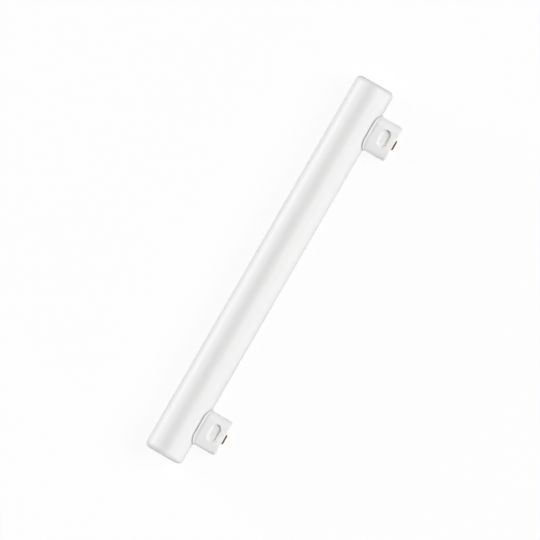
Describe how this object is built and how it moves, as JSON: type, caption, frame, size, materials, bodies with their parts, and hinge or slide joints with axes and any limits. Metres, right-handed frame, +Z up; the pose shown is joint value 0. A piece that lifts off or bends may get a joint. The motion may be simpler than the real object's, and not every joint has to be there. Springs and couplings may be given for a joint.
{
  "type": "tubular light bulb",
  "caption": "White opal tube lamp with a moulded side base near each end, each with spring recesses and a brass contact, that pushes sideways into lamp holders.",
  "frame": {"origin": "on the ground under the middle of the lamp's bounding box, the lamp lying as it comes to rest", "axes": "+X along the tube, -Y the way the bases point, +Z up"},
  "size_m": [0.3, 0.0472, 0.029],
  "materials": {
    "opal": "satin",
    "base": "satin",
    "contact": "satin",
    "lead": "satin"
  },
  "bodies": {
    "root": {"opal_tube": "opal", "base_left": "base", "contact_left": "contact", "lead_left": "lead", "base_right": "base", "contact_right": "contact", "lead_right": "lead"}
  },
  "joints": []
}
